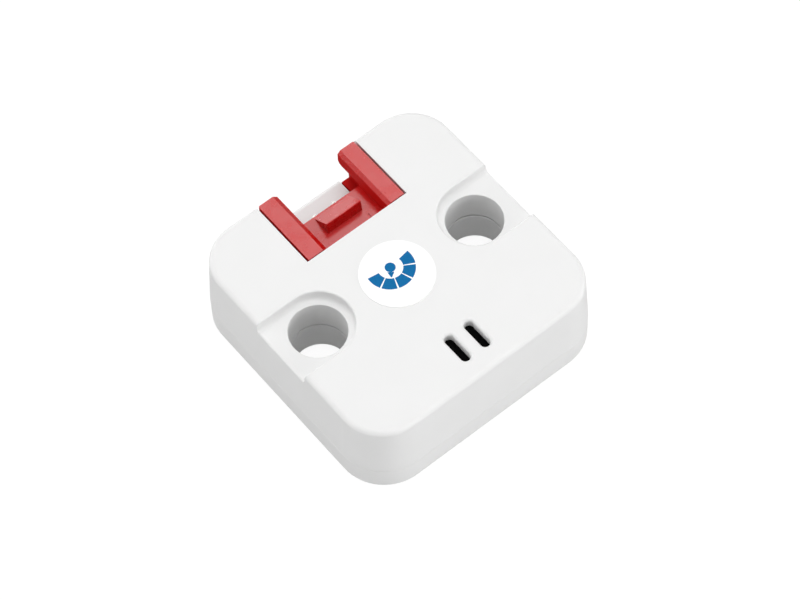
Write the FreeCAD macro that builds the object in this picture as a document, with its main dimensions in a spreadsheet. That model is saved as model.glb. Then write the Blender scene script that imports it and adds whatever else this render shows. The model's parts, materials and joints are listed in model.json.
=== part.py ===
import FreeCAD, Part
import os
import re
from FreeCAD import Vector, Placement, Rotation

# Barometric pressure sensor unit: a small two-shell case that carries a
# circuit board with a four-way socket, a pressure sensor behind two vent
# slots and two through holes for building-brick pins.
# Frame: origin at the bottom centre, +Z up, the two pin holes lie on X, the
# socket opens towards -Y, the vent slots are near +Y.  Millimetres.

doc = FreeCAD.newDocument("pressure_sensor_unit")

# ---------------------------------------------------------------- dimensions
DIMS = [
    # case
    ("case_width", 24.0, "outer width and depth"),
    ("case_height", 8.0, "outer height"),
    ("case_corner", 4.1, "vertical corner radius"),
    ("crown_round", 0.45, "round of the top edge"),
    ("lean_inset", 0.32, "how far the side walls lean in from the seam to the top"),
    ("foot_round", 0.3, "round of the bottom edge"),
    ("seam_low", 2.43, "top of the bottom cover's rim"),
    ("seam_high", 2.45, "lower edge of the top shell"),
    ("seam_round", 0.035, "round of both edges of the seam"),
    ("shell_wall", 1.2, "wall of the top shell"),
    ("inner_corner", 2.9, "corner radius of the shell's cavity"),
    ("roof_under", 6.8, "underside of the top plate"),
    # pin holes
    ("pin_pitch", 16.0, "distance between the two through holes"),
    ("bore_radius", 2.38, "radius of the through holes"),
    ("tube_radius", 3.4, "outer radius of the tubes round the holes"),
    ("tube_split_low", 3.76, "top of the cover's tubes"),
    ("tube_split_high", 3.98, "end of the shell's tubes"),
    ("split_edge", 0.05, "chamfer at the top of the cover's tubes"),
    ("flange_radius", 3.1, "counterbore under each hole"),
    ("flange_depth", 0.76, "depth of that counterbore"),
    ("bore_edge", 0.07, "round of the bore's upper edge"),
    # U-shaped recess round each hole
    ("recess_half", 3.01, "half width of the recess"),
    ("recess_floor", 6.97, "height of its floor"),
    ("recess_foot", 0.36, "hollow round at the foot of its wall"),
    ("recess_lip", 0.16, "round along its upper edge"),
    ("recess_drop", 0.2, "round where its floor meets the side wall"),
    ("backing_radius", 4.0, "thick part under the recess"),
    ("backing_low", 6.1, "its underside"),
    # socket opening in the top shell
    ("pocket_half", 5.05, "half width of the opening"),
    ("pocket_back", -4.97, "rear edge of the opening"),
    ("rib_thick", 0.8, "guide rib beside the socket"),
    ("rib_low", 3.3, "its lower edge"),
    # vents
    ("slot_width", 0.82, "width of a vent slot"),
    ("slot_length", 2.77, "length of a vent slot"),
    ("slot_offset", 1.0, "distance between a slot and the line half way between them"),
    ("slot_shift", -0.08, "that line, along X"),
    ("slot_centre", 8.60, "middle of the slots along Y"),
    ("slot_edge", 0.3, "round of the slot's edge"),
    # bottom cover
    ("floor_thick", 1.2, "floor of the cover"),
    ("rim_inner", 20.7, "inner width of the rim"),
    ("rim_corner", 2.45, "inner corner radius of the rim"),
    ("tongue_outer", 21.5, "outer width of the tongue"),
    ("tongue_corner", 2.85, "its corner radius"),
    ("tongue_top", 3.2, "its upper edge"),
    ("sill_half", 3.35, "half width of the sill in the socket's mouth"),
    ("sill_back", -10.35, "inner face of the sill"),
    ("sill_top", 3.3, "upper face of the sill"),
    ("sill_round", 0.5, "round along its outer edge"),
    ("post_radius", 0.9, "support post under the board"),
    ("post_offset", 8.2, "its place from the middle, along X and Y"),
    # screw
    ("column_radius", 2.6, "column round the screw in the cover"),
    ("column_top", 2.95, "its top"),
    ("boss_radius", 1.9, "screw boss of the shell"),
    ("boss_low", 3.0, "its end"),
    ("pilot_radius", 1.0, "hole in the boss"),
    ("pilot_top", 6.2, "its end"),
    ("clear_radius", 1.15, "clearance hole in the column"),
    ("head_bore", 1.95, "counterbore for the screw head"),
    ("head_seat", 1.3, "its depth"),
    ("head_radius", 1.8, "screw head"),
    ("head_low", 0.15, "face of the screw head"),
    ("head_round", 0.45, "round of the head"),
    ("shank_radius", 0.97, "screw shank"),
    ("shank_top", 5.6, "its end"),
    ("drive_size", 0.75, "corner radius of the hexagon socket"),
    ("drive_depth", 0.7, "its depth"),
    # board
    ("board_low", 1.5, "underside of the circuit board"),
    ("board_top", 2.5, "its top"),
    ("board_width", 20.4, "width and depth of the board"),
    ("board_corner", 2.3, "its corner radius"),
    ("board_gap", 3.65, "radius of the cut-outs round the tubes"),
    ("board_hole", 2.75, "hole for the screw column"),
    # socket
    ("socket_half", 4.87, "half width of the socket"),
    ("socket_front", -11.57, "front end of the socket"),
    ("arm_back", -5.05, "rear end of the two arms"),
    ("socket_back", -4.4, "rear face of the socket"),
    ("arm_right", 2.97, "inner face of the arm on the +X side"),
    ("arm_left", 3.22, "inner face of the arm on the -X side"),
    ("arm_low", 6.45, "underside of the arms"),
    ("bevel_right", 0.44, "bevel on the inner edge of the +X arm"),
    ("bevel_left", 0.3, "bevel on the inner edge of the -X arm"),
    ("arm_tip", 0.12, "round of the tips' upright edges"),
    ("arm_chin", 0.5, "round of the arms' lower front corner"),
    ("groove_left", -2.15, "fine groove in the bridge"),
    ("groove_wide", 0.1, "its width"),
    ("groove_deep", 0.08, "its depth"),
    ("groove_front", -6.3, "its front end"),
    ("bridge_top", 6.25, "upper face of the bridge"),
    ("bridge_low", 5.5, "its underside"),
    ("bridge_front", -8.85, "its front edge"),
    ("mouth_half", 4.2, "half width of the mouth"),
    ("mouth_low", 3.3, "floor of the mouth"),
    ("mouth_back", -6.2, "rear wall of the mouth"),
    ("notch_half", 3.45, "half width of the notch in the mouth's floor"),
    ("notch_back", -10.3, "rear edge of that notch"),
    ("catch_left", -1.98, "side of the latch catch"),
    ("catch_right", 1.52, "its other side"),
    ("catch_front", -8.75, "foot of its ramp"),
    ("catch_foot", -6.87, "foot of its steep face"),
    ("catch_crest", -7.05, "upper end of the steep face"),
    ("catch_flat", 0.08, "flat on its crest"),
    ("catch_top", 7.37, "top of the catch"),
    # contacts
    ("contact_pitch", 2.0, "distance between contacts"),
    ("contact_size", 0.5, "contacts are square wire"),
    ("contact_level", 5.05, "height of the contacts' middle"),
    ("contact_front", -9.62, "tips of the two middle ones"),
    ("contact_point", 0.35, "length of their tapered ends"),
    ("contact_tip", 0.22, "width at the very tip"),
    ("contact_outer", -8.95, "tips of the two outer ones"),
    ("contact_rear", -3.85, "rear face of their bends"),
    ("contact_toe", -2.95, "end of their solder toes"),
    ("anchor_thick", 0.4, "thickness of the solder anchors"),
    ("anchor_reach", 0.9, "length of their feet"),
    ("anchor_front", -8.4, "their front edge"),
    ("anchor_back", -6.6, "their rear edge"),
    ("anchor_top", 4.4, "their top"),
    # sensor
    ("sensor_y", 8.5, "middle of the sensor"),
    ("sensor_wide", 2.5, "sensor, along X"),
    ("sensor_deep", 2.0, "sensor, along Y"),
    ("sensor_base_top", 2.8, "top of its substrate"),
    ("sensor_lid_top", 3.4, "top of its lid"),
    ("lid_round", 0.3, "upright edges of the lid"),
    ("port_radius", 0.25, "pressure port in the lid"),
    ("foam_half", 2.4, "half width of the foam"),
    ("foam_front", 6.8, "its side towards the middle"),
    ("foam_back", 10.3, "its side towards the wall"),
    ("foam_top", 7.15, "its top, let into the top plate"),
    # label
    ("label_radius", 3.08, "round label"),
    ("label_x", 0.32, "its middle"),
    ("label_y", 0.45, "its middle"),
    ("label_thick", 0.1, "its thickness"),
]
sheet = doc.addObject("Spreadsheet::Sheet", "Dims")
for row, (alias, value, note) in enumerate(DIMS, start=1):
    sheet.set("A%d" % row, alias)
    sheet.set("B%d" % row, str(value))
    sheet.set("C%d" % row, note)
    sheet.setAlias("B%d" % row, alias)
doc.recompute()
NAMES = {alias for alias, _, _ in DIMS}
V = {alias: float(sheet.get(alias)) for alias in NAMES}


def ex(text):
    """An expression on the sheet: every alias is looked up in Dims."""
    return re.sub(r"[A-Za-z_]\w*",
                  lambda m: "Dims." + m.group(0) if m.group(0) in NAMES else m.group(0),
                  str(text))


# ------------------------------------------------------------------- helpers
def box(name, x, y, z):
    o = doc.addObject("Part::Box", name)
    for prop, (lo, hi) in (("Length", x), ("Width", y), ("Height", z)):
        o.setExpression(prop, ex("(%s) - (%s)" % (hi, lo)))
    for axis, (lo, hi) in (("x", x), ("y", y), ("z", z)):
        o.setExpression("Placement.Base." + axis, ex(lo))
    return o


AXES = {"Z": Rotation(), "X": Rotation(Vector(0, 1, 0), 90), "Y": Rotation(Vector(1, 0, 0), -90)}


def spot(o, axis, span_low, at):
    o.Placement = Placement(Vector(), AXES[axis])
    base = {"Z": (at[0], at[1], span_low), "X": (span_low, at[0], at[1]),
            "Y": (at[0], span_low, at[1])}[axis]
    for name, text in zip("xyz", base):
        o.setExpression("Placement.Base." + name, ex(text))
    return o


def cyl(name, radius, span, at, axis="Z"):
    o = doc.addObject("Part::Cylinder", name)
    o.setExpression("Radius", ex(radius))
    o.setExpression("Height", ex("(%s) - (%s)" % (span[1], span[0])))
    return spot(o, axis, span[0], at)


def torus(name, major, minor, level, at, axis="Z"):
    o = doc.addObject("Part::Torus", name)
    o.setExpression("Radius1", ex(major))
    o.setExpression("Radius2", ex(minor))
    return spot(o, axis, level, at)


def fuse(name, *parts):
    o = doc.addObject("Part::MultiFuse", name)
    o.Shapes = list(parts)
    o.Refine = True
    return o


def cut(name, base, *tools):
    tool = tools[0] if len(tools) == 1 else fuse(name + "_tools", *tools)
    o = doc.addObject("Part::Cut", name)
    o.Base, o.Tool = base, tool
    o.Refine = True
    return o


def common(name, a, b):
    o = doc.addObject("Part::Common", name)
    o.Base, o.Tool = a, b
    return o


def mirror(name, source, normal):
    o = doc.addObject("Part::Mirroring", name)
    o.Source = source
    o.Normal = Vector(*normal)
    return o


def pick(shape, test):
    """Numbers of the edges whose middle and box pass a test."""
    return [i for i, e in enumerate(shape.Edges, start=1) if test(e, e.BoundBox)]


def part_fillet(name, base, alias, test, kind="Part::Fillet"):
    doc.recompute()
    numbers = pick(base.Shape, test)
    if not numbers:
        raise RuntimeError(name + ": no edge found")
    o = doc.addObject(kind, name)
    o.Base = base
    o.Edges = [(i, V[alias], V[alias]) for i in numbers]
    return o


def rectangle(sketch, wx, wy):
    """A closed rectangle about the sketch's origin, bound to two sizes."""
    import Sketcher
    C = Sketcher.Constraint
    a, b = 5.0, 4.0
    pts = [Vector(-a, -b, 0), Vector(a, -b, 0), Vector(a, b, 0), Vector(-a, b, 0)]
    for i in range(4):
        sketch.addGeometry(Part.LineSegment(pts[i], pts[(i + 1) % 4]), False)
    for i in range(4):
        sketch.addConstraint(C("Coincident", i, 2, (i + 1) % 4, 1))
    for i, kind in enumerate(("Horizontal", "Vertical", "Horizontal", "Vertical")):
        sketch.addConstraint(C(kind, i))
    sketch.addConstraint(C("Symmetric", 0, 1, 2, 1, -1, 1))
    i = sketch.addConstraint(C("DistanceX", 0, 1, 0, 2, 2 * a))
    sketch.setExpression("Constraints[%d]" % i, ex(wx))
    i = sketch.addConstraint(C("DistanceY", 1, 1, 1, 2, 2 * b))
    sketch.setExpression("Constraints[%d]" % i, ex(wy))


def circle(sketch, radius, x, y):
    import Sketcher
    C = Sketcher.Constraint
    g = sketch.addGeometry(Part.Circle(Vector(1, 1, 0), Vector(0, 0, 1), 1.0), False)
    i = sketch.addConstraint(C("Radius", g, 1.0))
    sketch.setExpression("Constraints[%d]" % i, ex(radius))
    i = sketch.addConstraint(C("DistanceX", -1, 1, g, 3, 1.0))
    sketch.setExpression("Constraints[%d]" % i, ex(x))
    i = sketch.addConstraint(C("DistanceY", -1, 1, g, 3, 1.0))
    sketch.setExpression("Constraints[%d]" % i, ex(y))


def new_sketch(body, name, level):
    sketch = body.newObject("Sketcher::SketchObject", name)
    plane = [f for f in body.Origin.OriginFeatures if f.Role == "XY_Plane"][0]
    sketch.AttachmentSupport = [(plane, "")]
    sketch.MapMode = "FlatFace"
    sketch.setExpression("AttachmentOffset.Base.z", ex(level))
    return sketch


def round_edges(body, base, name, alias, test):
    doc.recompute()
    numbers = pick(base.Shape, test)
    if not numbers:
        raise RuntimeError(name + ": no edge found")
    f = body.newObject("PartDesign::Fillet", name)
    f.Base = (base, ["Edge%d" % i for i in numbers])
    f.setExpression("Radius", ex(alias))
    body.Tip = f
    return f


def lean(body, base, name, angle):
    """Side faces leant inwards from the lower face up."""
    doc.recompute()
    faces = list(enumerate(base.Shape.Faces, start=1))
    low = base.Shape.BoundBox.ZMin
    sides = ["Face%d" % i for i, f in faces if f.BoundBox.ZLength > 0.5]
    under = ["Face%d" % i for i, f in faces if abs(f.BoundBox.ZMax - low) < 1e-4]
    f = body.newObject("PartDesign::Draft", name)
    f.Base = (base, sides)
    f.NeutralPlane = (base, under[:1])
    f.setExpression("Angle", ex(angle))
    f.Reversed = False
    body.Tip = f
    return f


def plate(name, width, span, corner):
    """A body: a square plate with rounded vertical corners."""
    body = doc.addObject("PartDesign::Body", name)
    sketch = new_sketch(body, name + "_outline", span[0])
    rectangle(sketch, width, width)
    pad = body.newObject("PartDesign::Pad", name + "_pad")
    pad.Profile = sketch
    pad.setExpression("Length", ex("(%s) - (%s)" % (span[1], span[0])))
    last = round_edges(body, pad, name + "_corners", corner,
                       lambda e, b: b.ZLength > 0.5 and b.XLength < 1e-6 and b.YLength < 1e-6)
    return body, last


def disc(name, radius, span, x, y):
    body = doc.addObject("PartDesign::Body", name)
    sketch = new_sketch(body, name + "_outline", span[0])
    circle(sketch, radius, x, y)
    pad = body.newObject("PartDesign::Pad", name + "_pad")
    pad.Profile = sketch
    pad.setExpression("Length", ex("(%s) - (%s)" % (span[1], span[0])))
    return body, pad


def at_level(z, tol=1e-4):
    return lambda e, b: abs(b.ZMin - z) < tol and abs(b.ZMax - z) < tol


PIECES = []


def piece(o, name):
    o.Label = name
    PIECES.append((name, o))
    return o


HOLE = "pin_pitch/2"

# ------------------------------------------------------------------ top shell
shell_body, shell_last = plate("shell_block", "case_width", ("seam_high", "case_height"), "case_corner")
LEAN = "lean_inset/(case_height - seam_high)"
shell_last = lean(shell_body, shell_last, "shell_lean", "atan(%s)" % LEAN)
shell_last = round_edges(shell_body, shell_last, "shell_crown", "crown_round", at_level(V["case_height"]))
shell_last = round_edges(shell_body, shell_last, "shell_hem", "seam_round", at_level(V["seam_high"]))

cavity, _ = plate("shell_cavity", "case_width - 2*shell_wall", ("seam_high - 1", "roof_under"), "inner_corner")

# what stays solid inside the cavity: tubes, the thick part under each
# recess, the screw boss and the guide ribs beside the socket
keep = []
for side, tag in ((1, "a"), (-1, "b")):
    cx = HOLE if side > 0 else "-" + HOLE
    keep.append(cyl("keep_tube_" + tag, "tube_radius", ("tube_split_high", "roof_under + 0.2"), (cx, "0")))
    keep.append(cyl("keep_pad_" + tag, "backing_radius", ("backing_low", "roof_under + 0.2"), (cx, "0")))
    xs = (HOLE, "case_width/2 - shell_wall/2") if side > 0 else ("-(case_width/2 - shell_wall/2)", "-" + HOLE)
    keep.append(box("keep_slab_" + tag, xs, ("-backing_radius", "backing_radius"), ("backing_low", "roof_under + 0.2")))
    xs = ("pocket_half", "pocket_half + rib_thick") if side > 0 else ("-pocket_half - rib_thick", "-pocket_half")
    keep.append(box("keep_rib_" + tag, xs, ("-case_width/2 + shell_wall/2", "pocket_back"), ("rib_low", "roof_under + 0.2")))
keep.append(cyl("keep_boss", "boss_radius", ("boss_low", "roof_under + 0.2"), ("0", "0")))
hollow = cut("shell_hollow", cavity, *keep)
shell = cut("shell_1", shell_body, hollow)

# openings: socket bay, bores, screw pilot, vent slots
bay = box("bay", ("-pocket_half", "pocket_half"), ("-case_width/2 - 2", "pocket_back"), ("seam_high - 1", "case_height + 1"))
pilot = cyl("pilot", "pilot_radius", ("boss_low - 0.5", "pilot_top"), ("0", "0"))
seat = box("foam_seat", ("-foam_half", "foam_half"), ("foam_front", "foam_back"), ("roof_under - 0.5", "foam_top"))
tools = [bay, pilot, seat]
for side, tag in ((1, "a"), (-1, "b")):
    cx = HOLE if side > 0 else "-" + HOLE
    tools.append(cyl("bore_" + tag, "bore_radius", ("seam_high", "case_height + 1"), (cx, "0")))
    sx = "(slot_shift + slot_offset)" if side > 0 else "(slot_shift - slot_offset)"
    y0, y1 = "slot_centre - slot_length/2 + slot_width/2", "slot_centre + slot_length/2 - slot_width/2"
    tools.append(fuse("slot_" + tag,
                      box("slot_mid_" + tag, ("%s - slot_width/2" % sx, "%s + slot_width/2" % sx), (y0, y1), ("roof_under - 0.5", "case_height + 1")),
                      cyl("slot_end1_" + tag, "slot_width/2", ("roof_under - 0.5", "case_height + 1"), (sx, y0)),
                      cyl("slot_end2_" + tag, "slot_width/2", ("roof_under - 0.5", "case_height + 1"), (sx, y1))))
shell = cut("shell_2", shell, *tools)
y_slot = V["slot_centre"] - V["slot_length"] / 2 - 0.01
shell = part_fillet("shell_3", shell, "slot_edge",
                    lambda e, b: at_level(V["case_height"])(e, b) and b.YMin > y_slot
                    and abs(b.XMin) < 1.6 and abs(b.XMax) < 1.6 and b.YMax < 10.1)

# the U-shaped recess: a prism whose lower edge is rounded, and flared pieces
# that round its upper edge, along the straight sides and round the hole
EPS = "0.004"
prism = fuse("recess_prism",
             box("recess_run", (HOLE, "case_width/2 + 2"), ("-recess_half", "recess_half"), ("recess_floor", "case_height + 1.5")),
             cyl("recess_end", "recess_half", ("recess_floor", "case_height + 1.5"), (HOLE, "0")))
prism = part_fillet("recess_prism_round", prism, "recess_foot",
                    lambda e, b: at_level(V["recess_floor"])(e, b) and b.XMin < V["case_width"] / 2 + 1)
ring_r = "recess_half + recess_lip - " + EPS
ring_z = "case_height - recess_lip + " + EPS
ring = cut("flare_ring",
           cyl("flare_ring_out", ring_r, (ring_z + " - 0.05", "case_height + 1.5"), (HOLE, "0")),
           cyl("flare_ring_in", "recess_half - 0.1", (ring_z + " - 0.5", "case_height + 2"), (HOLE, "0")),
           torus("flare_ring_torus", ring_r, "recess_lip", ring_z, (HOLE, "0")))
run = cut("flare_run",
          box("flare_run_box", (HOLE, "case_width/2 + 1"), ("recess_half - 0.1", ring_r), (ring_z + " - 0.05", "case_height + 1.5")),
          cyl("flare_run_cyl", "recess_lip", (HOLE + " - 1", "case_width/2 + 2"), (ring_r, ring_z), "X"))
# its floor rolls over into the side wall: a ring about an axis along Y, whose
# inner surface is that round
drop_z = "recess_floor - recess_drop"
drop_c = "case_width/2 - (%s - seam_high)*%s - recess_drop*sqrt(1 + (%s)^2) + 0.012" % (drop_z, LEAN, LEAN)
drop = cut("recess_drop_ring",
           cyl("recess_drop_out", "recess_drop + 1.2", ("-recess_half", "recess_half"), (drop_c, drop_z), "Y"),
           cyl("recess_drop_in", "recess_drop", ("-recess_half - 1", "recess_half + 1"), (drop_c, drop_z), "Y"))
drop = part_fillet("recess_drop_round", drop, "recess_foot",
                   lambda e, b: abs(b.XLength - 2 * V["recess_drop"]) < 1e-3 and b.YLength < 1e-4)
drop = common("recess_drop_part", drop,
              box("recess_drop_limit", (drop_c, "case_width/2 + 2"), ("-recess_half - 1", "recess_half + 1"), (drop_z, "case_height + 1")))
step = 4
for tag, tool in (("prism", prism), ("drop", drop), ("ring", ring), ("run", run)):
    tool_list = [tool]
    if tag == "run":
        tool_list.append(mirror("flare_%s_y" % tag, tool, (0, 1, 0)))
    for t in list(tool_list):
        tool_list.append(mirror(t.Name + "_x", t, (1, 0, 0)))
    for t in tool_list:
        shell = cut("shell_%d" % step, shell, t)
        step += 1
shell = part_fillet("shell_edges", shell, "bore_edge",
                    lambda e, b: at_level(V["recess_floor"], 1e-3)(e, b)
                    and abs(b.YLength - 2 * V["bore_radius"]) < 0.02 and abs(b.XLength - 2 * V["bore_radius"]) < 0.02)
piece(shell, "top_shell")

# --------------------------------------------------------------- bottom cover
cover_body, cover_last = plate("cover_block", "case_width", ("0", "seam_low"), "case_corner")
cover_last = round_edges(cover_body, cover_last, "cover_foot", "foot_round", at_level(0.0))
cover_last = round_edges(cover_body, cover_last, "cover_hem", "seam_round", at_level(V["seam_low"]))
tub, _ = plate("cover_tub", "rim_inner", ("floor_thick", "seam_low + 2"), "rim_corner")
tongue_body, _ = plate("cover_tongue", "tongue_outer", ("floor_thick", "tongue_top"), "tongue_corner")
gap = box("tongue_gap", ("-pocket_half - rib_thick - 0.1", "pocket_half + rib_thick + 0.1"), ("-case_width/2 - 1", "-rim_inner/2 + 1"), ("seam_low", "tongue_top + 1"))
tongue = cut("cover_tongue_open", tongue_body, gap)
cover = cut("cover_1", fuse("cover_0", cover_body, tongue), tub)
adds = [cover]
sill = box("sill_block", ("-sill_half", "sill_half"), ("-case_width/2", "sill_back"), ("floor_thick", "sill_top"))
sill = part_fillet("sill", sill, "sill_round",
                   lambda e, b: at_level(V["sill_top"])(e, b) and b.YMax < -V["case_width"] / 2 + 0.01)
adds.append(sill)
for side, tag in ((1, "a"), (-1, "b")):
    cx = HOLE if side > 0 else "-" + HOLE
    # the tube is flattened where it runs along the shell's side wall
    xs = ("2", "tongue_outer/2 - 0.05") if side > 0 else ("-(tongue_outer/2 - 0.05)", "-2")
    adds.append(common("cover_tube_" + tag,
                       cyl("cover_tube_round_" + tag, "tube_radius", ("floor_thick - 0.2", "tube_split_low"), (cx, "0")),
                       box("cover_tube_limit_" + tag, xs, ("-6", "6"), ("0", "8"))))
    px = "post_offset" if side > 0 else "-post_offset"
    for py, ptag in (("post_offset", "far"), ("-post_offset", "near")):
        adds.append(cyl("post_%s_%s" % (tag, ptag), "post_radius", ("floor_thick - 0.2", "board_low"), (px, py)))
adds.append(cyl("cover_column", "column_radius", ("floor_thick - 0.2", "column_top"), ("0", "0")))
cover = fuse("cover_2", *adds)
tools = [cyl("screw_clear", "clear_radius", ("-1", "column_top + 1"), ("0", "0")),
         cyl("screw_head_bore", "head_bore", ("-1", "head_seat"), ("0", "0"))]
for side, tag in ((1, "a"), (-1, "b")):
    cx = HOLE if side > 0 else "-" + HOLE
    tools.append(cyl("cover_bore_" + tag, "bore_radius", ("-1", "tube_split_low + 1"), (cx, "0")))
    tools.append(cyl("cover_flange_" + tag, "flange_radius", ("-1", "flange_depth"), (cx, "0")))
cover = cut("cover_3", cover, *tools)
cover = part_fillet("cover_4", cover, "split_edge",
                    lambda e, b: at_level(V["tube_split_low"])(e, b) and abs(b.YLength - 2 * V["bore_radius"]) < 0.01,
                    "Part::Chamfer")
piece(cover, "bottom_cover")

# -------------------------------------------------------------- circuit board
board_body, _ = plate("board_block", "board_width", ("board_low", "board_top"), "board_corner")
tools = [cyl("board_centre", "board_hole", ("board_low - 1", "board_top + 1"), ("0", "0"))]
for side, tag in ((1, "a"), (-1, "b")):
    cx = HOLE if side > 0 else "-" + HOLE
    tools.append(cyl("board_gap_" + tag, "board_gap", ("board_low - 1", "board_top + 1"), (cx, "0")))
piece(cut("board", board_body, *tools), "circuit_board")

# --------------------------------------------------------------------- socket
block = box("socket_block", ("-socket_half", "socket_half"), ("socket_front", "socket_back"), ("board_top", "bridge_top"))
arms = box("arm_block", ("-socket_half", "socket_half"), ("socket_front", "arm_back"), ("board_top", "case_height"))
arms = part_fillet("arm_tips", arms, "arm_tip",
                   lambda e, b: b.YMax < V["socket_front"] + 0.01 and b.XLength < 0.01)
well = box("arm_well", ("-arm_left", "arm_right"), ("socket_front - 1", "arm_back + 1"), ("bridge_top", "case_height + 1"))
well = fuse("arm_well_wide", well,
            box("mouth_front", ("-mouth_half", "mouth_half"), ("socket_front - 1", "bridge_front"), ("mouth_low", "arm_low")),
            box("mouth_high", ("-arm_left", "arm_right"), ("socket_front - 1", "bridge_front"), ("mouth_low", "case_height + 1")))
housing = cut("socket_1", fuse("socket_0", block, arms), well,
              box("mouth", ("-mouth_half", "mouth_half"), ("socket_front - 1", "mouth_back"), ("mouth_low", "bridge_low")),
              box("mouth_notch", ("-notch_half", "notch_half"), ("socket_front - 1", "notch_back"), ("board_top - 1", "mouth_low + 1")))
# inner edges of the arms, bevelled over their whole length
for tag, alias, sign in (("right", "bevel_right", 1), ("left", "bevel_left", -1)):
    housing = part_fillet("socket_2" + tag, housing, alias,
                          lambda e, b: at_level(V["case_height"])(e, b) and b.XLength < 1e-4
                          and abs(sign * b.XMin - V["arm_" + tag]) < 1e-3, "Part::Chamfer")
# round of the arms' lower front corner, seen from the mouth
housing = part_fillet("socket_3", housing, "arm_chin",
                      lambda e, b: at_level(V["arm_low"])(e, b) and b.YMax < V["socket_front"] + 0.01)
catch = doc.addObject("Part::Wedge", "catch")
catch.Placement = Placement(Vector(), Rotation(Vector(1, 0, 0), 90))
for prop, text in (("Xmin", "catch_left"), ("X2min", "catch_left"), ("Xmax", "catch_right"), ("X2max", "catch_right"),
                   ("Ymin", "bridge_top - 0.05"), ("Ymax", "catch_top"),
                   ("Zmin", "-catch_foot"), ("Zmax", "-catch_front"),
                   ("Z2min", "-catch_crest"), ("Z2max", "-catch_crest + catch_flat")):
    catch.setExpression(prop, ex(text))
housing = cut("socket_4b", fuse("socket_4", housing, catch),
              box("bridge_groove", ("groove_left", "groove_left + groove_wide"), ("groove_front", "socket_back + 1"), ("bridge_top - groove_deep", "bridge_top + 0.5")))
wires = []
for i in range(4):
    x = "(%g)*contact_pitch" % (i - 1.5)
    half = "contact_size/2"
    xs = ("%s - %s" % (x, half), "%s + %s" % (x, half))
    front = "contact_front" if i in (1, 2) else "contact_outer"
    point = doc.addObject("Part::Wedge", "contact_taper_%d" % (i + 1))
    point.Placement = Placement(Vector(), Rotation(Vector(1, 0, 0), 180))
    for prop, text in (("Xmin", xs[0]), ("Xmax", xs[1]), ("X2min", x + " - contact_tip/2"), ("X2max", x + " + contact_tip/2"),
                       ("Ymin", "-(%s + contact_point)" % front), ("Ymax", "-" + front),
                       ("Zmin", "-contact_level - " + half), ("Zmax", "-contact_level + " + half),
                       ("Z2min", "-contact_level - contact_tip/2"), ("Z2max", "-contact_level + contact_tip/2")):
        point.setExpression(prop, ex(text))
    wires.append(fuse("contact_%d" % (i + 1), point,
                      box("contact_run_%d" % (i + 1), xs, (front + " + contact_point", "contact_rear"), ("contact_level - " + half, "contact_level + " + half)),
                      box("contact_leg_%d" % (i + 1), xs, ("contact_rear - contact_size", "contact_rear"), ("board_top", "contact_level + " + half)),
                      box("contact_toe_%d" % (i + 1), xs, ("contact_rear - contact_size", "contact_toe"), ("board_top", "board_top + 0.25"))))
anchors = []
for side, tag in ((-1, "left"), (1, "right")):
    sx = lambda a, b: (a, b) if side > 0 else ("-(%s)" % b, "-(%s)" % a)
    anchors.append(fuse("anchor_" + tag,
                        box("anchor_blade_" + tag, sx("socket_half - anchor_thick", "socket_half"), ("anchor_front", "anchor_back"), ("board_top", "anchor_top")),
                        box("anchor_foot_" + tag, sx("socket_half - anchor_thick", "socket_half + anchor_reach"), ("anchor_front", "anchor_back"), ("board_top", "board_top + 0.25"))))
housing = cut("socket_5", housing, *(wires + anchors))
piece(housing, "socket_housing")
for i, w in enumerate(wires):
    piece(w, "socket_contact_%d" % (i + 1))
for a, tag in zip(anchors, ("left", "right")):
    piece(a, "socket_anchor_" + tag)

# ------------------------------------------------------------ pressure sensor
base = box("sensor_base", ("-sensor_wide/2", "sensor_wide/2"), ("sensor_y - sensor_deep/2", "sensor_y + sensor_deep/2"), ("board_top", "sensor_base_top"))
piece(base, "sensor_substrate")
lid = box("sensor_lid_block", ("-sensor_wide/2 + 0.1", "sensor_wide/2 - 0.1"), ("sensor_y - sensor_deep/2 + 0.1", "sensor_y + sensor_deep/2 - 0.1"), ("sensor_base_top", "sensor_lid_top"))
lid = part_fillet("sensor_lid_round", lid, "lid_round", lambda e, b: b.ZLength > 0.5)
lid = cut("sensor_lid", lid,
          box("sensor_lid_room", ("-sensor_wide/2 + 0.3", "sensor_wide/2 - 0.3"), ("sensor_y - sensor_deep/2 + 0.3", "sensor_y + sensor_deep/2 - 0.3"), ("sensor_base_top - 0.5", "sensor_lid_top - 0.15")),
          cyl("sensor_port", "port_radius", ("sensor_base_top", "sensor_lid_top + 1"), ("0.6", "sensor_y + 0.3")))
piece(lid, "sensor_lid")
foam = cut("foam", box("foam_block", ("-foam_half", "foam_half"), ("foam_front", "foam_back"), ("board_top", "foam_top")),
           box("foam_pocket", ("-sensor_wide/2 - 0.2", "sensor_wide/2 + 0.2"), ("sensor_y - sensor_deep/2 - 0.2", "sensor_y + sensor_deep/2 + 0.2"), ("board_top - 1", "sensor_lid_top + 0.1")))
piece(foam, "vent_foam")

# ------------------------------------------------------------ small parts
reg = box("regulator_block", ("-7.65", "-4.75"), ("6.4", "8.0"), ("board_top + 0.1", "board_top + 1.2"))
piece(reg, "regulator_body")
leads = []
for i, (lx, low) in enumerate(((-7.15, 1), (-6.2, 1), (-5.25, 1), (-7.15, 0), (-5.25, 0))):
    xs = ("%g" % (lx - 0.2), "%g" % (lx + 0.2))
    riser = ("6.25", "6.4") if low else ("8.0", "8.15")
    foot = ("5.8", "6.4") if low else ("8.0", "8.6")
    leads.append(fuse("lead_%d" % (i + 1),
                      box("lead_up_%d" % (i + 1), xs, riser, ("board_top", "board_top + 0.65")),
                      box("lead_foot_%d" % (i + 1), xs, foot, ("board_top", "board_top + 0.1"))))
lead_group = doc.addObject("Part::Compound", "leads")
lead_group.Links = leads
piece(lead_group, "regulator_leads")


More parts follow.
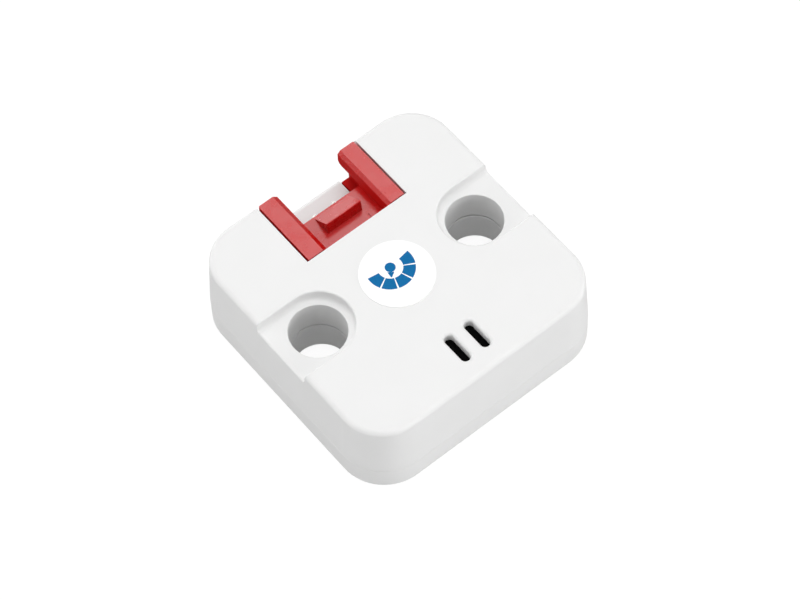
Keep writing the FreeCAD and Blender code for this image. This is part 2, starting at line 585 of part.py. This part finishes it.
def chip(name, x, y, length, width, height, along="X", alias="seam_round"):
    """A chip part: a ceramic bar whose two ends are capped a little proud."""
    lx, ly = (length, width) if along == "X" else (width, length)
    cap = 0.25 * length
    core_l = lx if along == "X" else lx - 0.04
    core_w = ly - 0.04 if along == "X" else ly
    def b(tag, x0, x1, y0, y1, h):
        return box(name + tag, ("%g" % (x + x0), "%g" % (x + x1)), ("%g" % (y + y0), "%g" % (y + y1)), ("board_top", "board_top + %g" % h))
    parts = [b("_core", -core_l / 2, core_l / 2, -core_w / 2, core_w / 2, height - 0.03)]
    if along == "X":
        parts.append(b("_cap1", -lx / 2, -lx / 2 + cap, -ly / 2, ly / 2, height))
        parts.append(b("_cap2", lx / 2 - cap, lx / 2, -ly / 2, ly / 2, height))
    else:
        parts.append(b("_cap1", -lx / 2, lx / 2, -ly / 2, -ly / 2 + cap, height))
        parts.append(b("_cap2", -lx / 2, lx / 2, ly / 2 - cap, ly / 2, height))
    return fuse(name + "_all", *parts)


piece(chip("cap_in", -6.2, 9.35, 1.6, 0.8, 0.8), "input_capacitor")
piece(chip("cap_out", -6.2, 4.9, 1.6, 0.8, 0.8), "output_capacitor")
piece(chip("cap_by", 3.4, 8.5, 1.0, 0.5, 0.5, "Y"), "bypass_capacitor")
piece(chip("res_1", 5.6, 7.4, 1.6, 0.8, 0.45, "Y"), "pull_up_resistor_1")
piece(chip("res_2", 7.1, 7.4, 1.6, 0.8, 0.45, "Y"), "pull_up_resistor_2")

# ---------------------------------------------------------------------- screw
head = part_fillet("screw_head", cyl("screw_head_block", "head_radius", ("head_low", "head_seat"), ("0", "0")), "head_round", at_level(V["head_low"]))
shank = cyl("screw_shank", "shank_radius", ("head_seat - 0.1", "shank_top"), ("0", "0"))
drive = doc.addObject("Part::Prism", "screw_drive")
drive.Polygon = 6
drive.setExpression("Circumradius", ex("drive_size"))
drive.setExpression("Height", ex("drive_depth + 1"))
drive.setExpression("Placement.Base.z", ex("head_low - 1"))
piece(cut("screw", fuse("screw_solid", head, shank), drive), "case_screw")

# ---------------------------------------------------------------------- label
label_body, label_pad = disc("label_disc", "label_radius", ("case_height", "case_height + label_thick"), "label_x", "label_y")
piece(label_body, "front_label")

# --------------------------------------------------------------- check, write
doc.recompute()
bad = []
for o in doc.Objects:
    if "Invalid" in o.State or "Error" in o.State:
        bad.append("%s %s" % (o.Name, o.State))
for name, o in PIECES:
    if o.Shape.isNull() or not o.Shape.isValid():
        bad.append(name + ": no valid shape")
    elif not o.Shape.Solids:
        bad.append(name + ": no solid")
if bad:
    raise RuntimeError("; ".join(bad))

os.makedirs("parts", exist_ok=True)
total = None
for name, o in PIECES:
    s = o.Shape
    b = s.BoundBox
    print("%-22s solids %d faces %3d volume %8.3f  x %.2f %.2f  y %.2f %.2f  z %.2f %.2f" % (
        name, len(s.Solids), len(s.Faces), s.Volume, b.XMin, b.XMax, b.YMin, b.YMax, b.ZMin, b.ZMax))
    s.exportStep("parts/%s.step" % name)
print("pieces", len(PIECES))
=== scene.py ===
import json
import math

import bmesh
import bpy
from mathutils import Matrix, Vector


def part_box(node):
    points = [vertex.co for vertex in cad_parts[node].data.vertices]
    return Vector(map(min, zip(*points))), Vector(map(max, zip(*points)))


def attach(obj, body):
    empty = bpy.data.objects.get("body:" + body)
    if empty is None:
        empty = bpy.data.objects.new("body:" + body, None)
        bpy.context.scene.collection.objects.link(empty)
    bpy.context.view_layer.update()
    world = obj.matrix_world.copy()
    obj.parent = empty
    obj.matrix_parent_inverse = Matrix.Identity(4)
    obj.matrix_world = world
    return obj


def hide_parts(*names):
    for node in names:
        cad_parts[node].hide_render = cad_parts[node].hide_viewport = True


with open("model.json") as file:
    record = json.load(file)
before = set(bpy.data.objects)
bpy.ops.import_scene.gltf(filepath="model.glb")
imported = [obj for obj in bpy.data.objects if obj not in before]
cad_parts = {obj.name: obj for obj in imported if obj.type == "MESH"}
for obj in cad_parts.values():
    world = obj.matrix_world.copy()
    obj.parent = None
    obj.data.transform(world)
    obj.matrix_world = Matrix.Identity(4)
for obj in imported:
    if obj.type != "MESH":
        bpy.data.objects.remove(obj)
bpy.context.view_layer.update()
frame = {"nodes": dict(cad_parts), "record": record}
NODES = frame["nodes"]
MM = 0.001
scene = bpy.context.scene


# ------------------------------------------------------------------ camera
def set_camera():
    """A long lens, 262 mm away, that looks down on the socket's far side."""
    az, el, roll = (math.radians(v) for v in (143.0653, 59.3496, -2.5807))
    back = Vector((math.sin(az) * math.cos(el), -math.cos(az) * math.cos(el), math.sin(el)))
    right = Vector((math.cos(az), math.sin(az), 0.0))
    up = back.cross(right)
    c, s = math.cos(roll), math.sin(roll)
    x_axis, y_axis = c * right + s * up, -s * right + c * up
    place = Vector((0, 0, 4.0)) + back * 261.784 - (x_axis * -0.1657 + y_axis * 0.4814)
    data = bpy.data.cameras.new("camera")
    data.sensor_width = 36.0
    data.lens = 36.0 * 3271.098 / 800.0
    data.clip_start = 0.01
    data.clip_end = 10.0
    cam = bpy.data.objects.new("camera", data)
    scene.collection.objects.link(cam)
    m = Matrix.Identity(4)
    for i, axis in enumerate((x_axis, y_axis, back)):
        for j in range(3):
            m[j][i] = axis[j]
    for j in range(3):
        m[j][3] = place[j] * MM
    cam.matrix_world = m
    scene.camera = cam


set_camera()


# --------------------------------------------------------------- materials
class Mat:
    """A node material with short helpers to wire it up."""

    def __init__(self, name):
        self.mat = bpy.data.materials.new(name)
        self.mat.use_nodes = True
        self.tree = self.mat.node_tree
        self.bsdf = self.tree.nodes["Principled BSDF"]
        self.coord = self.node("ShaderNodeTexCoord").outputs["Object"]

    def node(self, kind, **props):
        n = self.tree.nodes.new(kind)
        for key, value in props.items():
            setattr(n, key, value)
        return n

    def link(self, a, b):
        self.tree.links.new(a, b)

    def put(self, **values):
        for key, value in values.items():
            self.bsdf.inputs[key.replace("_", " ")].default_value = value

    def noise(self, scale, detail=3.0, rough=0.5, vector=None, stretch=None, distortion=0.0):
        n = self.node("ShaderNodeTexNoise")
        n.inputs["Scale"].default_value = scale
        n.inputs["Detail"].default_value = detail
        n.inputs["Roughness"].default_value = rough
        n.inputs["Distortion"].default_value = distortion
        src = vector or self.coord
        if stretch:
            m = self.node("ShaderNodeMapping")
            m.inputs["Scale"].default_value = stretch
            self.link(src, m.inputs["Vector"])
            src = m.outputs["Vector"]
        self.link(src, n.inputs["Vector"])
        return n.outputs["Fac"]

    def span(self, value, lo, hi, a=0.0, b=1.0):
        n = self.node("ShaderNodeMapRange")
        for key, v in (("From Min", a), ("From Max", b), ("To Min", lo), ("To Max", hi)):
            n.inputs[key].default_value = v
        self.link(value, n.inputs["Value"])
        return n.outputs["Result"]

    def ramp(self, value, stops):
        n = self.node("ShaderNodeValToRGB")
        e = n.color_ramp.elements
        while len(e) < len(stops):
            e.new(0.5)
        for el, (pos, colour) in zip(e, stops):
            el.position = pos
            el.color = (*colour, 1.0)
        self.link(value, n.inputs["Fac"])
        return n.outputs["Color"]

    def mix(self, fac, a, b, mode="MIX"):
        n = self.node("ShaderNodeMix", data_type="RGBA", blend_type=mode)
        for key, v in ((0, fac), (6, a), (7, b)):
            if isinstance(v, (int, float)):
                n.inputs[key].default_value = v
            elif isinstance(v, tuple):
                n.inputs[key].default_value = (*v, 1.0)
            else:
                self.link(v, n.inputs[key])
        return n.outputs[2]

    def math(self, op, a, b=None, c=None):
        n = self.node("ShaderNodeMath", operation=op)
        for i, v in enumerate((a, b, c)):
            if v is None:
                continue
            if isinstance(v, (int, float)):
                n.inputs[i].default_value = v
            else:
                self.link(v, n.inputs[i])
        return n.outputs[0]

    def bump(self, height, strength, distance, below=None):
        n = self.node("ShaderNodeBump")
        n.inputs["Strength"].default_value = strength
        n.inputs["Distance"].default_value = distance
        self.link(height, n.inputs["Height"])
        if below is not None:
            self.link(below, n.inputs["Normal"])
        return n.outputs["Normal"]

    def wire(self, colour=None, rough=None, normal=None):
        if colour is not None:
            self.link(colour, self.bsdf.inputs["Base Color"])
        if rough is not None:
            self.link(rough, self.bsdf.inputs["Roughness"])
        if normal is not None:
            self.link(normal, self.bsdf.inputs["Normal"])
        return self.mat


def white_plastic():
    m = Mat("white_moulded_plastic")
    cloud = m.noise(260.0, 2.0)
    grain = m.noise(9000.0, 2.0, 0.6)
    tone = m.math("ADD", m.math("MULTIPLY", cloud, 0.6), m.math("MULTIPLY", grain, 0.4))
    colour = m.ramp(tone, ((0.25, (0.800, 0.800, 0.797)), (0.75, (0.820, 0.820, 0.818))))
    rough = m.span(grain, 0.48, 0.56, 0.3, 0.7)
    normal = m.bump(grain, 0.12, 0.00003)
    m.put(IOR=1.45)
    return m.wire(colour, rough, normal)


def red_plastic(name, low, high, **values):
    m = Mat(name)
    cloud = m.noise(900.0, 3.0, 0.55)
    grain = m.noise(11000.0, 2.0, 0.6)
    tone = m.math("ADD", m.math("MULTIPLY", cloud, 0.55), m.math("MULTIPLY", grain, 0.45))
    colour = m.ramp(tone, ((0.28, (0.480, 0.004, 0.004)), (0.72, (0.530, 0.007, 0.006))))
    rough = m.span(cloud, low, high, 0.3, 0.7)
    normal = m.bump(grain, 0.09, 0.00003)
    m.put(IOR=1.52, **values)
    return m.wire(colour, rough, normal)


def black_foam():
    m = Mat("black_cell_foam")
    v = m.node("ShaderNodeTexVoronoi", feature="F1")
    v.inputs["Scale"].default_value = 3200.0
    m.link(m.coord, v.inputs["Vector"])
    cell = v.outputs["Distance"]
    colour = m.ramp(cell, ((0.1, (0.0006, 0.0006, 0.0006)), (0.8, (0.003, 0.003, 0.003))))
    normal = m.bump(cell, 0.9, 0.00012)
    m.put(IOR=1.4, Specular_IOR_Level=0.04)
    return m.wire(colour, m.span(cell, 0.75, 0.95), normal)


def board_green():
    m = Mat("green_board")
    weave = m.noise(2500.0, 2.0)
    colour = m.ramp(weave, ((0.3, (0.010, 0.085, 0.035)), (0.7, (0.016, 0.120, 0.050))))
    normal = m.bump(weave, 0.15, 0.00002)
    m.put(IOR=1.5)
    return m.wire(colour, m.span(weave, 0.25, 0.4), normal)


def metal(name, low, high, rough, stretch, scale=4000.0, strength=0.15):
    m = Mat(name)
    brushed = m.noise(scale, 3.0, 0.6, stretch=stretch)
    cloud = m.noise(700.0, 3.0)
    colour = m.ramp(cloud, ((0.3, low), (0.7, high)))
    normal = m.bump(brushed, strength, 0.00001)
    m.put(Metallic=1.0)
    return m.wire(colour, m.span(brushed, rough[0], rough[1], 0.3, 0.7), normal)


def dull(name, low, high, rough=(0.5, 0.7), scale=3000.0, strength=0.25):
    m = Mat(name)
    grain = m.noise(scale, 4.0, 0.6)
    colour = m.ramp(grain, ((0.3, low), (0.7, high)))
    normal = m.bump(grain, strength, 0.00002)
    return m.wire(colour, m.span(grain, *rough), normal)


def printed_white():
    m = Mat("label_vinyl_white")
    fine = m.noise(7000.0, 2.0)
    wave = m.noise(420.0, 2.0)
    tone = m.math("ADD", m.math("MULTIPLY", fine, 0.5), m.math("MULTIPLY", wave, 0.5))
    colour = m.ramp(tone, ((0.3, (0.940, 0.940, 0.940)), (0.7, (0.960, 0.960, 0.960))))
    normal = m.bump(wave, 0.06, 0.00004)
    m.put(IOR=1.48)
    return m.wire(colour, m.span(fine, 0.30, 0.38, 0.3, 0.7), normal)


def printed_blue():
    m = Mat("label_ink_blue")
    fine = m.noise(8000.0, 2.0)
    colour = m.ramp(fine, ((0.3, (0.004, 0.135, 0.345)), (0.7, (0.006, 0.152, 0.385))))
    normal = m.bump(fine, 0.08, 0.00001)
    m.put(Specular_IOR_Level=0.05)
    return m.wire(colour, m.span(fine, 0.34, 0.44, 0.3, 0.7), normal)


SLOTS = {
    "case_plastic": white_plastic(),
    "socket_plastic": red_plastic("red_moulded_plastic", 0.22, 0.30),
    "board": board_green(),
    "contact_metal": metal("tin_plated_contact", (0.62, 0.61, 0.58), (0.74, 0.73, 0.70), (0.22, 0.34), (1, 8, 1)),
    "tin": metal("tinned_metal", (0.60, 0.60, 0.60), (0.72, 0.72, 0.71), (0.28, 0.42), (1, 1, 1)),
    "foam": black_foam(),
    "black_plastic": dull("black_epoxy", (0.012, 0.012, 0.013), (0.022, 0.022, 0.023)),
    "ceramic": dull("tan_ceramic", (0.36, 0.25, 0.15), (0.44, 0.32, 0.21), (0.35, 0.5)),
    "resistor": dull("dark_glaze", (0.02, 0.02, 0.024), (0.035, 0.035, 0.04), (0.2, 0.35)),
    "screw_steel": metal("plated_steel", (0.30, 0.30, 0.31), (0.42, 0.42, 0.42), (0.25, 0.4), (1, 1, 1), 6000.0),
    "label": printed_white(),
}
for part in frame["record"]["subparts"]:
    node = NODES[part["node"]]
    for s in node.material_slots:
        s.material = SLOTS[part["material_slot"]]


# ------------------------------------------------------------------ pieces
def new_piece(name, bm, material):
    me = bpy.data.meshes.new(name)
    bm.to_mesh(me)
    bm.free()
    o = bpy.data.objects.new(name, me)
    scene.collection.objects.link(o)
    me.materials.append(material)
    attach(o, "root")
    return o


def apply_modifiers(o):
    bpy.context.view_layer.update()
    deps = bpy.context.evaluated_depsgraph_get()
    me = bpy.data.meshes.new_from_object(o.evaluated_get(deps))
    o.modifiers.clear()
    o.data = me


def softened(node, width, segments, material, name, angle=28.0):
    """A copy of a CAD piece whose hard edges carry a small moulded radius."""
    bm = bmesh.new()
    bm.from_mesh(NODES[node].data)
    bmesh.ops.remove_doubles(bm, verts=bm.verts, dist=2e-6)
    bmesh.ops.dissolve_limit(bm, angle_limit=math.radians(0.5), verts=bm.verts, edges=bm.edges)
    bm.normal_update()
    o = new_piece(name, bm, material)
    mod = o.modifiers.new("edges", "BEVEL")
    mod.width = width
    mod.segments = segments
    mod.limit_method = "ANGLE"
    mod.angle_limit = math.radians(angle)
    mod.harden_normals = False
    mod.miter_outer = "MITER_ARC"
    mod.use_clamp_overlap = True
    apply_modifiers(o)
    bm = bmesh.new()
    bm.from_mesh(o.data)
    for f in bm.faces:
        f.smooth = True
    for e in bm.edges:
        if len(e.link_faces) == 2:
            e.smooth = e.calc_face_angle() < math.radians(50)
    bm.to_mesh(o.data)
    bm.free()
    mod = o.modifiers.new("normals", "WEIGHTED_NORMAL")
    mod.mode = "FACE_AREA"
    mod.weight = 100
    mod.keep_sharp = True
    apply_modifiers(o)
    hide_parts(node)
    return o


socket = softened("socket_housing", 0.06 * MM, 2, SLOTS["socket_plastic"], "socket_body")


def dull_inside(o):
    """The mouth and the arms' inner faces come dull out of the mould."""
    o.data.materials.append(red_plastic("red_dull_plastic", 0.62, 0.70, Specular_IOR_Level=0.08))
    for f in o.data.polygons:
        x, _, z = (v / MM for v in f.center)
        wall = abs(f.normal.x) > 0.99 and min(abs(x + 3.22), abs(x - 2.97)) < 0.04
        f.material_index = int(z < 5.45 or wall)


dull_inside(socket)


# ------------------------------------------------------------ label's mark
def strip(bm, rows, z0, z1):
    """A closed ribbon: rows of (outer point, inner point) in the plane, with a thickness."""
    made = []
    for a, b in rows:
        made.append([bm.verts.new((p[0] * MM, p[1] * MM, z * MM)) for z in (z0, z1) for p in (a, b)])
    for r, s in zip(made, made[1:]):
        bm.faces.new((r[2], r[3], s[3], s[2]))
        bm.faces.new((r[1], r[0], s[0], s[1]))
        bm.faces.new((r[0], r[2], s[2], s[0]))
        bm.faces.new((r[3], r[1], s[1], s[3]))
    for r, flip in ((made[0], False), (made[-1], True)):
        f = [r[0], r[1], r[3], r[2]]
        bm.faces.new(f[::-1] if flip else f)


def gauge_mark():
    """A plain dial: a broad arc in segments, a needle and its hub, printed on the round label."""
    cx, cy = 0.39, -0.34
    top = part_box("front_label")[1].z / MM
    z0, z1 = top - 0.002, top + 0.008
    bm = bmesh.new()

    def at(r, a, side=0.0):
        a = math.radians(a)
        return (cx + r * math.cos(a) - side * math.sin(a), cy + r * math.sin(a) + side * math.cos(a))

    def arc(r0, r1, a0, a1, n):
        rows = []
        for i in range(n + 1):
            a = a0 + (a1 - a0) * i / n
            rows.append((at(r1, a), at(r0, a)))
        strip(bm, rows, z0, z1)

    parts, gap, first, last = 5, 4.0, -9.0, 189.0
    step = (last - first + gap) / parts
    for i in range(parts):
        arc(1.04, 2.04, first + i * step, first + (i + 1) * step - gap, 14)
    rows = []
    for i in range(13):
        t = i / 12
        half = 0.24 * (1 - t) + 0.04
        rows.append((at(0.44 + 0.48 * t, 58, half), at(0.44 + 0.48 * t, 58, -half)))
    strip(bm, rows, z0, z1)
    low = [bm.verts.new((*(v * MM for v in at(0.44, 7.5 * i)), z0 * MM)) for i in range(48)]
    high = [bm.verts.new((*(v * MM for v in at(0.44, 7.5 * i)), z1 * MM)) for i in range(48)]
    bm.faces.new(high)
    bm.faces.new(low[::-1])
    for i in range(48):
        j = (i + 1) % 48
        bm.faces.new((low[i], low[j], high[j], high[i]))
    bmesh.ops.recalc_face_normals(bm, faces=bm.faces)
    return new_piece("label_mark", bm, printed_blue())


gauge_mark()


# ------------------------------------------------------------ floor, light
def plane(name, size, level=0.0):
    bm = bmesh.new()
    bmesh.ops.create_grid(bm, x_segments=1, y_segments=1, size=size)
    me = bpy.data.meshes.new(name)
    bm.to_mesh(me)
    bm.free()
    o = bpy.data.objects.new(name, me)
    o.location.z = level
    scene.collection.objects.link(o)
    return o


def pale_screen(o, glow):
    """Makes a floor or wall that only the camera sees, as white as paper."""
    m = Mat("pale_" + o.name)
    tone = m.noise(8.0, 2.0)
    colour = m.ramp(tone, ((0.3, (0.10, 0.10, 0.10)), (0.7, (0.11, 0.11, 0.11))))
    m.put(Roughness=0.9, IOR=1.3)
    m.bsdf.inputs["Emission Color"].default_value = (1, 1, 1, 1)
    m.bsdf.inputs["Emission Strength"].default_value = glow
    o.data.materials.append(m.wire(colour))
    o.visible_diffuse = o.visible_glossy = o.visible_transmission = o.visible_shadow = False


def set_backdrop():
    """A plain pale wall round the floor, for views from low down."""
    bm = bmesh.new()
    ring = [(1.45 * math.cos(math.radians(a)), 1.45 * math.sin(math.radians(a))) for a in range(0, 360, 3)]
    low = [bm.verts.new((x, y, 0.0)) for x, y in ring]
    high = [bm.verts.new((x, y, 1.2)) for x, y in ring]
    for i in range(len(ring)):
        j = (i + 1) % len(ring)
        bm.faces.new((low[j], low[i], high[i], high[j]))
    me = bpy.data.meshes.new("backdrop")
    bm.to_mesh(me)
    bm.free()
    o = bpy.data.objects.new("backdrop", me)
    scene.collection.objects.link(o)
    pale_screen(o, 0.98)


def set_floor():
    """The pale floor that is seen, and under it the one that gives back light."""
    pale_screen(plane("floor", 1.5), 0.93)
    under = plane("floor_bounce", 1.5, -0.00001)
    m = Mat("pale_floor_bounce")
    tone = m.noise(8.0, 2.0)
    colour = m.ramp(tone, ((0.3, (FLOOR, FLOOR, FLOOR)), (0.7, (FLOOR + 0.01,) * 3)))
    m.put(Roughness=0.9, IOR=1.3)
    m.bsdf.inputs["Emission Color"].default_value = (1, 1, 1, 1)
    m.bsdf.inputs["Emission Strength"].default_value = GLOW
    under.data.materials.append(m.wire(colour))
    under.visible_camera = under.visible_glossy = False


def area(name, shape, size, place, target, radiance):
    """A soft light; its strength follows from the radiance wanted."""
    data = bpy.data.lights.new(name, "AREA")
    data.shape = shape
    data.size = size
    face = size * size * (math.pi / 4 if shape == "DISK" else 1.0)
    data.energy = radiance * math.pi * face
    o = bpy.data.objects.new(name, data)
    scene.collection.objects.link(o)
    o.location = Vector(place)
    o.rotation_euler = (Vector(place) - Vector(target)).to_track_quat("Z", "Y").to_euler()


def softbox(name, turn, tilt, half, radiance, away=0.6):
    """A square softbox that faces the object; half is half the angle that it fills."""
    t, u = math.radians(tilt), math.radians(turn)
    place = Vector((math.sin(t) * math.cos(u), math.sin(t) * math.sin(u), math.cos(t))) * away
    area(name, "SQUARE", 2 * away * math.tan(math.radians(half)), place, (0, 0, 0), radiance)


FLOOR = 0.71
GLOW = 0.04
set_floor()
set_backdrop()
for turn, radiance in ((0, 0.19), (90, 4.04), (135, 2.21), (180, 0.13), (270, 0.78), (315, 2.30)):
    softbox("softbox_low_%03d" % turn, turn, 80, 13, radiance)
for turn, radiance in ((0, 1.24), (135, 1.67), (180, 0.50), (315, 1.62)):
    softbox("softbox_mid_%03d" % turn, turn, 62, 13, radiance)
for turn, radiance in ((135, 0.72), (225, 0.47), (315, 0.52)):
    softbox("softbox_high_%03d" % turn, turn, 38, 13, radiance)
softbox("softbox_back", 233, 31, 8, 3.84)
softbox("softbox_back_low", 252, 86, 10, 4.50)
area("softbox_top", "SQUARE", 2 * 0.6 * math.tan(math.radians(18)), (0, 0, 0.6), (0, 0, 0), 3.17)
world = bpy.data.worlds.new("studio")
scene.world = world
world.use_nodes = True
sky = world.node_tree.nodes["Background"]
sky.inputs["Color"].default_value = (1, 1, 1, 1)
sky.inputs["Strength"].default_value = 0.28

scene.view_settings.view_transform = "Standard"
scene.view_settings.look = "None"
scene.view_settings.exposure = 0.0
scene.view_settings.gamma = 1.0
